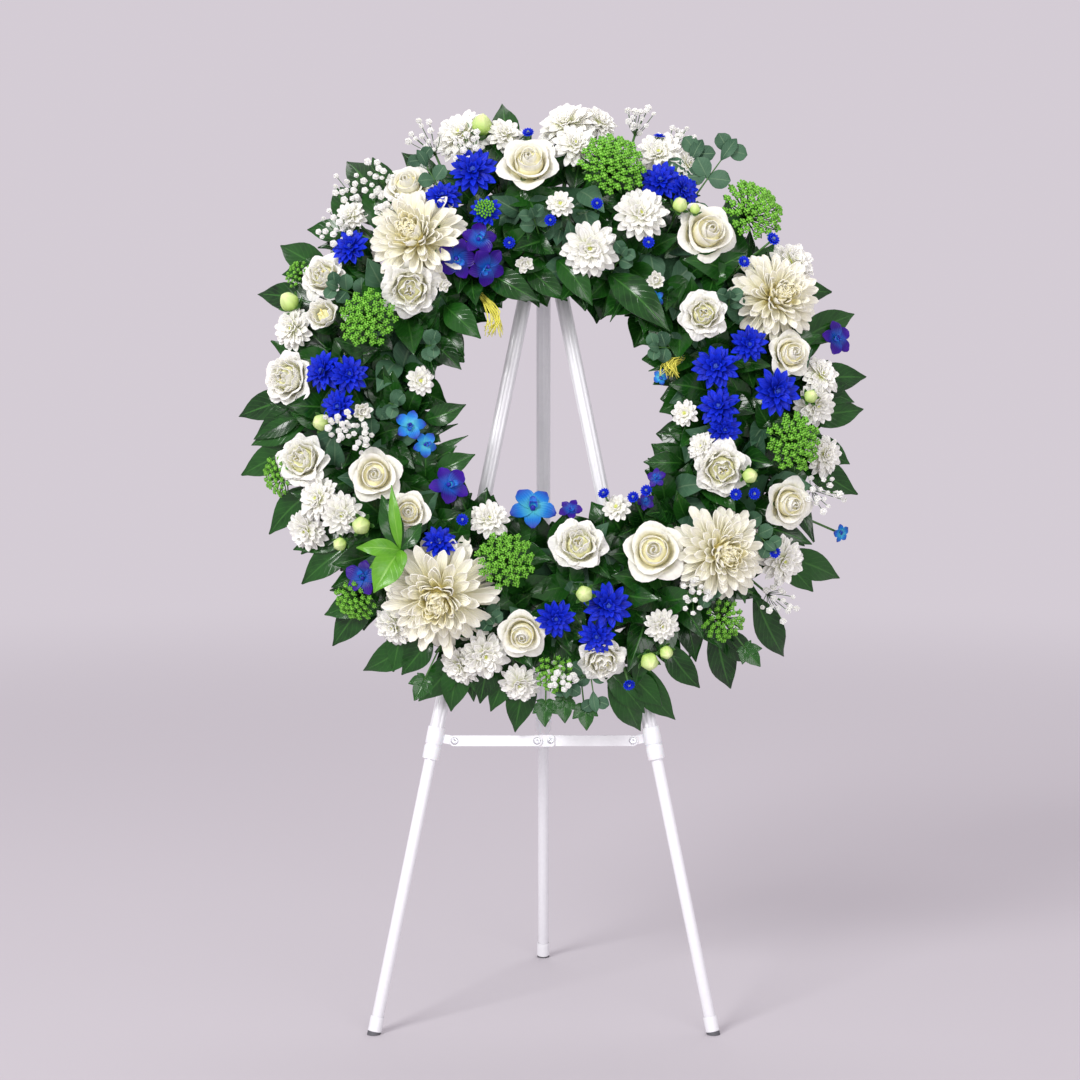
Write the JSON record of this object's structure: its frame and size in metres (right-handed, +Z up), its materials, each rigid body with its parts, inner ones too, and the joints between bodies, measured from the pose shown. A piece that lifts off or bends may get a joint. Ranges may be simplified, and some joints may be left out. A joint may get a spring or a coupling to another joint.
{
  "type": "funeral wreath on a folding stand",
  "caption": "Round wreath of fresh flowers and leaves in foam, hung by a wire from a folding three-legged stand with sliding legs.",
  "frame": {"origin": "on the floor, under the middle of the object's box", "axes": "+Z up, +Y from the wreath's face towards the rear leg, +X to the right as seen from the front"},
  "size_m": [0.6881, 0.4115, 1.0259],
  "materials": {
    "white_paint": "white enamel on thin steel tube",
    "white_plastic": "smooth moulded",
    "foot_plastic": "matt moulded cap",
    "wire": "galvanised wire",
    "tray_plastic": "dark green moulded",
    "foam": "fine-celled floral foam",
    "leaf": "waxy leaf",
    "cream_petal": "soft petal",
    "rose_petal": "soft petal",
    "lisianthus_petal": "soft petal",
    "white_petal": "soft petal",
    "blue_petal": "dyed petal",
    "green_floret": "small florets",
    "orchid_petal": "waxy petal",
    "gypsophila_floret": "papery floret"
  },
  "bodies": {
    "root": {"stand_head": "white_plastic", "hanging_wire": "wire", "base_tray": "tray_plastic", "foam_ring": "foam", "foliage_1": "leaf", "foliage_2": "leaf", "foliage_3": "leaf", "foliage_4": "leaf", "foliage_5": "leaf", "cream_mum_upper_left": "cream_petal", "cream_mum_lower_left": "cream_petal", "cream_mum_lower_right": "cream_petal", "cream_mum_right": "cream_petal", "roses_top": "rose_petal", "roses_right": "rose_petal", "roses_bottom": "rose_petal", "roses_left": "rose_petal", "lisianthus_upper_left": "lisianthus_petal", "lisianthus_left": "lisianthus_petal", "lisianthus_bottom": "lisianthus_petal", "lisianthus_right": "lisianthus_petal", "white_mums_top": "white_petal", "white_mums_top_right": "white_petal", "white_mums_top_left": "white_petal", "white_mums_left": "white_petal", "white_mums_lower_left": "white_petal", "white_mums_bottom": "white_petal", "white_mums_hole_right": "white_petal", "white_mums_right": "white_petal", "white_sprays_lower_right": "white_petal", "blue_mums_top_left": "blue_petal", "blue_mums_left": "blue_petal", "blue_mums_top_right": "blue_petal", "blue_mums_right": "blue_petal", "blue_mums_bottom": "blue_petal", "green_umbels_top": "green_floret", "green_umbels_upper_left": "green_floret", "green_umbels_bottom": "green_floret", "green_umbels_lower_left": "green_floret", "green_umbel_right": "green_floret", "green_umbel_lower_right": "green_floret", "orchids_top": "orchid_petal", "orchids_bottom": "orchid_petal", "orchid_right": "orchid_petal", "gypsophila_upper_left": "gypsophila_floret"},
    "left_leg": {"left_upper_leg": "white_paint", "left_collar": "white_plastic"},
    "right_leg": {"right_upper_leg": "white_paint", "right_collar": "white_plastic"},
    "rear_leg": {"rear_upper_leg": "white_paint", "rear_collar": "white_plastic"},
    "left_lower": {"left_lower_leg": "white_paint", "left_foot": "foot_plastic"},
    "right_lower": {"right_lower_leg": "white_paint", "right_foot": "foot_plastic"},
    "rear_lower": {"rear_lower_leg": "white_paint", "rear_foot": "foot_plastic"},
    "left_strip": {"left_brace_strip": "white_paint"},
    "right_strip": {"right_brace_strip": "white_paint"},
    "centre_plate": {"brace_centre_plate": "white_plastic"}
  },
  "joints": [
    {"name": "left_leg_fold", "type": "hinge", "parent": "root", "child": "left_leg", "pos_m": [-0.022, -0.01859, 0.84965], "axis": [0, -0.9903, 0.1392], "range_deg": [0, 8]},
    {"name": "right_leg_fold", "type": "hinge", "parent": "root", "child": "right_leg", "pos_m": [0.002, -0.01859, 0.84965], "axis": [0, -0.9903, 0.1392], "range_deg": [-8, 0]},
    {"name": "rear_leg_fold", "type": "hinge", "parent": "root", "child": "rear_leg", "pos_m": [-0.01, 0.00121, 0.84687], "axis": [-1, 0, 0], "range_deg": [0, 19.5]},
    {"name": "left_brace_fold", "type": "hinge", "parent": "left_leg", "child": "left_strip", "pos_m": [-0.1087, -0.09325, 0.31839], "axis": [0, -0.9903, 0.1392], "range_deg": [0, 72]},
    {"name": "right_brace_fold", "type": "hinge", "parent": "right_leg", "child": "right_strip", "pos_m": [0.0887, -0.09325, 0.31839], "axis": [0, -0.9903, 0.1392], "range_deg": [-72, 0]},
    {"name": "centre_plate_turn", "type": "hinge", "parent": "left_strip", "child": "centre_plate", "pos_m": [-0.0174, -0.09325, 0.31839], "axis": [0, -0.9903, 0.1392], "range_deg": [-80, 0]},
    {"name": "left_leg_slide", "type": "slide", "parent": "left_leg", "child": "left_lower", "axis": [0.1994, 0.1364, 0.9704], "range_m": [0, 0.2]},
    {"name": "right_leg_slide", "type": "slide", "parent": "right_leg", "child": "right_lower", "axis": [-0.1994, 0.1364, 0.9704], "range_m": [0, 0.2]},
    {"name": "rear_leg_slide", "type": "slide", "parent": "rear_leg", "child": "rear_lower", "axis": [0, -0.225, 0.9744], "range_m": [0, 0.2]}
  ],
  "couplings": [
    {"joint": "right_leg_fold", "follows": "left_leg_fold", "ratio": -1},
    {"joint": "left_brace_fold", "follows": "left_leg_fold", "ratio": 9},
    {"joint": "right_brace_fold", "follows": "left_leg_fold", "ratio": -9},
    {"joint": "centre_plate_turn", "follows": "left_leg_fold", "ratio": -10}
  ]
}
